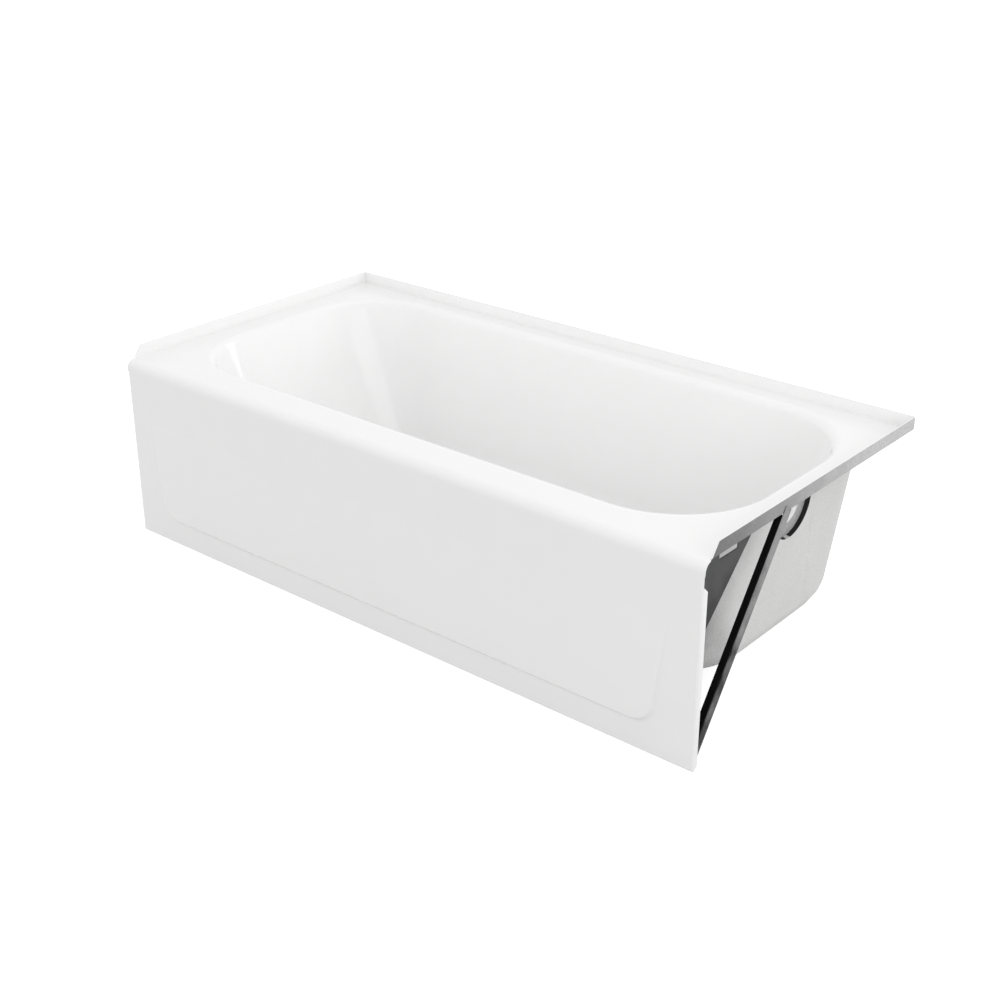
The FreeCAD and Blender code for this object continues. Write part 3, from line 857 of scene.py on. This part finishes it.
class BATH_OT_tub_shell(bpy.types.Operator):
    """The pressed sheet: basin, ledges, front bend and tile flange, in white enamel"""

    bl_idname = "bath.tub_shell"
    bl_label = "Tub shell"

    def execute(self, context):
        scene = context.scene
        edges = scene.bath_edges
        basin = Basin(scene.bath_sheet)
        bm = bmesh.new()
        inner = lay_ledges(bm, basin, edges.fold_angle)
        sink_basin(bm, basin, inner)
        bmesh.ops.remove_doubles(bm, verts=bm.verts, dist=WELD)
        bmesh.ops.recalc_face_normals(bm, faces=bm.faces)
        ledge = max(bm.faces, key=lambda face: abs(face.normal.z) * face.calc_area())
        if ledge.normal.z < 0.0:
            bmesh.ops.reverse_faces(bm, faces=bm.faces)
        geom = bmesh.ops.solidify(bm, geom=bm.faces[:], thickness=basin.sheet.thickness)["geom"]
        for face in made(geom, bmesh.types.BMFace):
            face.material_index = 1
        round_edges(
            bm, edges.enamel_edge, edges.cut_angle,
            lambda edge: min(v.co.z for v in edge.verts) > basin.deck - NEAR
            or max(v.co.y for v in edge.verts) > basin.front,
        )
        piece = place_piece(
            bm, "enamelled_shell", ["basin", "deck"], enamel_material(scene.bath_finish),
            edges.crease_angle,
        )
        piece.data.materials.append(sheet_back_material(scene.bath_finish))
        return {"FINISHED"}


class ApronRings:
    """Places on the apron, as rings from its raised panel out to its bent edges.

    A ring counts from the panel's foot line round one foot corner to the head, and then
    the same at the other end. Half of a corner's points lie on the foot, half on the end.
    """

    CORNER_STEPS = 12
    STEP_RINGS = 8
    BEND_STEPS = 5
    STEP_OUTSIDE = 0.85

    def __init__(self, apron, basin):
        self.apron = apron
        self.face = basin.apron_face
        self.end = basin.outer_x
        self.head = basin.bend_level - basin.sheet.apron_lap
        self.half_foot = basin.outer_x - apron.panel_border
        self.side_count = self.CORNER_STEPS + 2
        self.count = 2 * self.side_count
        self.tangent = apron.panel_corner * math.tan((math.pi / 2 - apron.panel_lean) / 2)

    def panel_point(self, turn, grow, share):
        """A point of the panel's outline let out by grow, at a share of the relief."""
        apron = self.apron
        foot = apron.panel_foot - grow
        head = apron.panel_head + grow
        half_foot = self.half_foot + grow
        if turn > self.CORNER_STEPS:
            x = half_foot + (head - foot) * math.tan(apron.panel_lean)
            z = head
        else:
            heading = (math.pi / 2 - apron.panel_lean) * turn / self.CORNER_STEPS
            x = half_foot - self.tangent + apron.panel_corner * math.sin(heading)
            z = foot + apron.panel_corner * (1.0 - math.cos(heading))
        fade = (apron.panel_head - z) / (apron.panel_head - apron.panel_foot)
        proud = apron.relief * share * min(max(fade, 0.0), 1.0)
        return Vector((x, self.face - proud, z))

    def edge_point(self, turn, inset, back):
        """A point of the face's outline, inset from its ends and foot, and set back."""
        end = self.end - inset
        share = 2.0 * turn / self.CORNER_STEPS
        if turn > self.CORNER_STEPS:
            return Vector((end, self.face + back, self.head))
        if share <= 1.0:
            start = self.half_foot - self.tangent
            return Vector((start + share * (end - start), self.face + back, inset))
        top = self.apron.panel_foot + self.apron.panel_corner
        return Vector((end, self.face + back, inset + (share - 1.0) * (top - inset)))

    def place(self, verts, steps, maker, *values):
        """Puts a ring's vertices where the maker says, mirrored for the second end."""
        for vert in verts:
            side, turn = divmod(vert[steps], self.side_count)
            vert.co = maker(turn, *values)
            if side:
                vert.co.x = -vert.co.x


def press_apron(bm, rings):
    """The apron's surface: raised panel, flat border, bent edges and returns."""
    steps = bm.verts.layers.int.new("ring_step")
    apron = rings.apron
    verts = bmesh.ops.create_circle(bm, segments=rings.count, radius=1.0)["verts"]
    ring = linked_edges(verts)
    for step, vert in enumerate(verts):
        second = rings.side_count + rings.count - 1 - step
        vert[steps] = step if step < rings.side_count else second
    for index in range(rings.STEP_RINGS + 1):
        share = 1.0 - index / rings.STEP_RINGS
        if index:
            ring, verts = next_ring(bm, ring)
        crease = apron.panel_groove / apron.relief * math.sin(math.pi * share) ** 2
        rings.place(
            verts, steps, rings.panel_point, apron.panel_step * (rings.STEP_OUTSIDE - share),
            share * share * (3.0 - 2.0 * share) - crease,
        )
        if index == 0:
            bmesh.ops.contextual_create(bm, geom=ring)
    ring, verts = next_ring(bm, ring)
    rings.place(verts, steps, rings.edge_point, apron.edge_bend, 0.0)
    ring = [edge for edge in ring if min(v.co.z for v in edge.verts) < rings.head - NEAR]
    for index in range(1, rings.BEND_STEPS + 1):
        turn = math.pi / 2 * index / rings.BEND_STEPS
        ring, verts = next_ring(bm, ring)
        rings.place(
            verts, steps, rings.edge_point, apron.edge_bend * (1.0 - math.sin(turn)),
            apron.edge_bend * (1.0 - math.cos(turn)),
        )
    ring, verts = next_ring(bm, ring)
    rings.place(verts, steps, rings.edge_point, 0.0, apron.return_depth)


def split_faces(bm, faces, place, normal):
    """Cuts only these faces by a plane."""
    parts = dict.fromkeys(faces)
    for face in faces:
        parts.update(dict.fromkeys(face.edges))
        parts.update(dict.fromkeys(face.verts))
    bmesh.ops.bisect_plane(bm, geom=list(parts), dist=WELD, plane_co=place, plane_no=normal)


def cut_returns(bm, basin, apron):
    """Cuts the end returns off below the ledge and mitres their foot corners."""
    inside = basin.apron_face + basin.sheet.thickness
    rear = basin.apron_face + apron.return_depth
    end = basin.outer_x - apron.return_depth

    def folded(ends_only=False):
        centres = [(face, face.calc_center_median()) for face in bm.faces]
        return [
            face for face, centre in centres
            if centre.y > inside and (abs(centre.x) > end or not ends_only)
        ]

    bends = [face for face in bm.faces if max(v.co.y for v in face.verts) > inside]
    split_faces(bm, bends, (0.0, inside, 0.0), (0.0, 1.0, 0.0))
    for side in (-end, end):
        split_faces(bm, folded(), (side, 0.0, 0.0), (1.0, 0.0, 0.0))
    slope = rear + basin.sheet.thickness - inside
    cuts = (
        ((0.0, inside, apron.return_head), (0.0, apron.return_depth, slope)),
        ((0.0, rear, apron.return_mitre), (0.0, 1.0, -1.0)),
    )
    for place, normal in cuts:
        split_faces(bm, folded(ends_only=True), place, normal)
        beyond = [
            face for face in folded(ends_only=True)
            if (face.calc_center_median() - Vector(place)).dot(Vector(normal)) > 0.0
        ]
        bmesh.ops.delete(bm, geom=beyond, context="FACES")


class BATH_OT_apron(bpy.types.Operator):
    """The apron with its raised panel, in the same enamel"""

    bl_idname = "bath.apron"
    bl_label = "Apron"

    def execute(self, context):
        scene = context.scene
        edges = scene.bath_edges
        apron = scene.bath_apron
        basin = Basin(scene.bath_sheet)
        bm = bmesh.new()
        press_apron(bm, ApronRings(apron, basin))
        cut_returns(bm, basin, apron)
        bmesh.ops.remove_doubles(bm, verts=bm.verts, dist=WELD)
        bmesh.ops.recalc_face_normals(bm, faces=bm.faces)
        widest = max(bm.faces, key=lambda face: face.calc_area())
        if widest.normal.y > 0.0:
            bmesh.ops.reverse_faces(bm, faces=bm.faces)
        geom = bmesh.ops.solidify(bm, geom=bm.faces[:], thickness=basin.sheet.thickness)["geom"]
        for face in made(geom, bmesh.types.BMFace):
            face.material_index = 1
        head = basin.bend_level - basin.sheet.apron_lap
        round_edges(
            bm, edges.enamel_edge, edges.cut_angle,
            lambda edge: min(v.co.z for v in edge.verts) < head - NEAR,
        )
        piece = place_piece(
            bm, "enamelled_apron", ["apron"], enamel_material(scene.bath_finish),
            edges.crease_angle,
        )
        piece.data.materials.append(sheet_back_material(scene.bath_finish))
        return {"FINISHED"}


def mark_arch(bm, basin, reach):
    """Gives the cut edge of the arch round the overflow its painted shade."""
    bm.normal_update()
    for face in bm.faces:
        offset = face.calc_center_median() - basin.overflow
        near = abs(offset.y) < reach and offset.z > -reach and offset.x > -reach
        cut = abs(face.normal.x) < TURNED_ASIDE and abs(face.normal.z) < LEVEL
        face.material_index = int(near and cut)


def score_end(bm, backing):
    """A shallow groove down the outlet end, whose two edges show as a faint double line."""
    top = backing.groove_top
    along = backing.groove_foot - top
    across = along.cross(Vector((1.0, 0.0, 0.0))).normalized()
    for offset in (-backing.groove_side, 0.0, backing.groove_side):
        bm.normal_update()
        end = [
            face for face in bm.faces
            if face.normal.x > ENDWAYS and face.calc_center_median().x > OUTLET_HALF
        ]
        split_faces(bm, end, top + across * offset, across)
    bm.normal_update()
    for vert in bm.verts:
        on_line = abs((vert.co - top).dot(across)) < SLIVER
        if on_line and vert.co.x > OUTLET_HALF and vert.normal.x > PARTLY_ENDWAYS:
            vert.co.x -= backing.groove_depth


class BATH_OT_backing(bpy.types.Operator):
    """The moulded backing round the outside of the basin"""

    bl_idname = "bath.backing"
    bl_label = "Basin backing"

    def execute(self, context):
        scene = context.scene
        edges = scene.bath_edges
        backing = scene.bath_backing
        basin = Basin(scene.bath_sheet)
        bm = merged_copy("basin_backing")
        mark_arch(bm, basin, backing.arch_reach)
        score_end(bm, backing)
        piece = place_piece(
            bm, "moulded_backing", ["basin_backing"],
            backing_material(scene.bath_finish, backing), edges.crease_angle,
        )
        piece.data.materials.append(arch_edge_material(scene.bath_finish))
        return {"FINISHED"}


class BATH_OT_pad(bpy.types.Operator):
    """The foam pad that carries the basin's floor"""

    bl_idname = "bath.pad"
    bl_label = "Support pad"

    def execute(self, context):
        scene = context.scene
        edges = scene.bath_edges
        bm = merged_copy("support_pad")
        place_piece(
            bm, "foam_pad", ["support_pad"], foam_material(scene.bath_finish),
            edges.crease_angle,
        )
        return {"FINISHED"}


class BATH_OT_gussets(bpy.types.Operator):
    """The slotted corner plates between deck and apron"""

    bl_idname = "bath.gussets"
    bl_label = "End gussets"

    def execute(self, context):
        scene = context.scene
        edges = scene.bath_edges
        finish = scene.bath_finish
        coat = ground_coat_material(
            "ground_coat_grey", finish.ground_coat, finish.ground_coat_pale,
            (finish.gusset_low, finish.gusset_high), finish.gusset_roughness, finish.gusset_shine,
        )
        for end in ("right", "left"):
            bm = merged_copy(f"{end}_gusset")
            flatten(bm, edges.flat_angle)
            round_edges(bm, edges.plate_edge, edges.crease_angle)
            place_piece(
                bm, f"{end}_gusset_plate", [f"{end}_gusset"], coat,
                edges.crease_angle,
            )
        return {"FINISHED"}


class BATH_OT_braces(bpy.types.Operator):
    """The rolled steel angles from the apron's foot to the tile flange, with painted light and shade on
    their legs
    """

    bl_idname = "bath.braces"
    bl_label = "Diagonal braces"

    def execute(self, context):
        scene = context.scene
        edges = scene.bath_edges
        finish = scene.bath_finish
        levels = (finish.brace_low, finish.brace_high)
        # Painted shade on the braces' face in shadow, painted light on their lit outer leg.
        black = ground_coat_material(
            "brace_black", finish.brace_black, finish.brace_black, levels,
            finish.shade_roughness, finish.shade_shine,
        )
        grey = ground_coat_material(
            "brace_grey", finish.brace_black, finish.brace_lit, levels,
            finish.leg_roughness, finish.leg_shine,
        )
        for end in ("right", "left"):
            bm = merged_copy(f"{end}_brace")
            flatten(bm, edges.flat_angle)
            round_edges(bm, edges.plate_edge, edges.crease_angle)
            # Painted light and shade: faces turned endways take the lit coat, the rest take the shaded
            # black.
            for face in bm.faces:
                face.material_index = int(abs(face.normal.x) > LEG_ENDWAYS)
            piece = place_piece(
                bm, f"{end}_brace_angle", [f"{end}_brace"], black,
                edges.crease_angle,
            )
            piece.data.materials.append(grey)
        return {"FINISHED"}


def seen_rays(tree):
    """A mask of 1 where the camera sees a surface, itself or in a gloss or through glass."""
    paths = tree.nodes.new("ShaderNodeLightPath")
    seen = math_node(tree, "MAXIMUM", paths.outputs["Is Camera Ray"], paths.outputs["Is Glossy Ray"])
    return math_node(tree, "MAXIMUM", seen, paths.outputs["Is Transmission Ray"])


class BATH_OT_studio(bpy.types.Operator):
    """Floor, lamps, even sky and the camera"""

    bl_idname = "bath.studio"
    bl_label = "Studio"

    def execute(self, context):
        studio = context.scene.bath_studio
        self.lay_floor(studio)
        self.set_sky(studio)
        for name in ("key", "end", "wall"):
            self.hang_lamp(studio, name)
        self.set_camera(studio)
        context.scene.view_settings.view_transform = "Standard"
        return {"FINISHED"}

    def lay_floor(self, studio):
        """A wide pale floor that takes the shadow and shows white to the camera."""
        bm = bmesh.new()
        bmesh.ops.create_grid(bm, x_segments=2, y_segments=2, size=studio.floor_reach)
        mesh = bpy.data.meshes.new("studio_floor")
        bm.to_mesh(mesh)
        bm.free()
        floor = bpy.data.objects.new("studio_floor", mesh)
        bpy.context.scene.collection.objects.link(floor)
        material, tree, shader, place = new_material("studio_floor")
        clouds = noise(tree, place, 1.5, 2.0)
        tree.links.new(
            tint(tree, rgb(tree, studio.floor), clouds, 0.995, 1.005), shader.inputs["Base Color"]
        )
        shader.inputs["Roughness"].default_value = 0.9
        shader.inputs["Specular IOR Level"].default_value = 0.1
        shader.inputs["Emission Color"].default_value = (1.0, 1.0, 1.0, 1.0)
        tree.links.new(
            math_node(tree, "MULTIPLY", seen_rays(tree), studio.glow), shader.inputs["Emission Strength"]
        )
        mesh.materials.append(material)

    def set_sky(self, studio):
        """Even light, and a white background wherever the sky itself is seen."""
        world = bpy.data.worlds.new("studio_sky")
        bpy.context.scene.world = world
        world.use_nodes = True
        tree = world.node_tree
        sky = tree.nodes["Background"]
        sky.inputs["Color"].default_value = (1.0, 1.0, 1.0, 1.0)
        split = tree.nodes.new("ShaderNodeSeparateXYZ")
        tree.links.new(tree.nodes.new("ShaderNodeTexCoord").outputs["Generated"], split.inputs[0])
        height = spread(tree, split.outputs["Z"], 0.0, 1.0, studio.sky, studio.zenith)
        mix = tree.nodes.new("ShaderNodeMix")
        tree.links.new(seen_rays(tree), mix.inputs["Factor"])
        tree.links.new(height, mix.inputs["A"])
        mix.inputs["B"].default_value = 1.0
        tree.links.new(mix.outputs["Result"], sky.inputs["Strength"])

    def hang_lamp(self, studio, name):
        """One soft lamp, at its place and turned to its aim."""
        place = getattr(studio, f"{name}_place")
        aim = getattr(studio, f"{name}_aim")
        lamp = bpy.data.lights.new(f"{name}_lamp", "AREA")
        lamp.shape = "RECTANGLE"
        lamp.size, lamp.size_y = getattr(studio, f"{name}_size")[:2]
        lamp.energy = getattr(studio, name)
        holder = bpy.data.objects.new(f"{name}_lamp", lamp)
        holder.location = place
        holder.rotation_euler = (aim - place).to_track_quat("-Z", "Y").to_euler()
        bpy.context.scene.collection.objects.link(holder)

    def set_camera(self, studio):
        """The camera at the photograph's place and angle."""
        turn, tilt = studio.camera_turn, studio.camera_tilt
        ahead = Vector((
            math.sin(turn) * math.cos(tilt), math.cos(turn) * math.cos(tilt), -math.sin(tilt)
        ))
        lens = bpy.data.cameras.new("camera")
        lens.sensor_width = studio.sensor
        lens.lens = studio.lens
        lens.clip_end = studio.camera_reach
        holder = bpy.data.objects.new("camera", lens)
        holder.location = studio.camera_place
        holder.rotation_euler = ahead.to_track_quat("-Z", "Y").to_euler()
        bpy.context.scene.collection.objects.link(holder)
        bpy.context.scene.camera = holder


class BATH_PT_panel(bpy.types.Panel):
    """Sizes, finishes and steps of the bath"""

    bl_idname = "BATH_PT_panel"
    bl_label = "Bathtub"
    bl_space_type = "VIEW_3D"
    bl_region_type = "UI"
    bl_category = "Bathtub"

    def draw(self, context):
        layout = self.layout
        scene = context.scene
        for label in GROUPS:
            group = getattr(scene, label)
            box = layout.box()
            for name in group.__annotations__:
                box.prop(group, name)
        for step in STEPS:
            layout.operator(step.bl_idname)


GROUPS = {
    "bath_sheet": BathSheet,
    "bath_apron": BathApron,
    "bath_edges": BathEdges,
    "bath_backing": BathBacking,
    "bath_finish": BathFinish,
    "bath_studio": BathStudio,
}
STEPS = (
    BATH_OT_tub_shell,
    BATH_OT_apron,
    BATH_OT_backing,
    BATH_OT_pad,
    BATH_OT_gussets,
    BATH_OT_braces,
    BATH_OT_studio,
)


def register():
    for entry in (*GROUPS.values(), *STEPS, BATH_PT_panel):
        bpy.utils.register_class(entry)
    for label, group in GROUPS.items():
        setattr(bpy.types.Scene, label, bpy.props.PointerProperty(type=group))


def unregister():
    for label in GROUPS:
        delattr(bpy.types.Scene, label)
    for entry in (BATH_PT_panel, *reversed(STEPS), *reversed(GROUPS.values())):
        bpy.utils.unregister_class(entry)


def main():
    """Registers the add-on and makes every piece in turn."""
    register()
    bpy.ops.bath.tub_shell()
    bpy.ops.bath.apron()
    bpy.ops.bath.backing()
    bpy.ops.bath.pad()
    bpy.ops.bath.gussets()
    bpy.ops.bath.braces()
    bpy.ops.bath.studio()


if __name__ == "__main__":
    main()
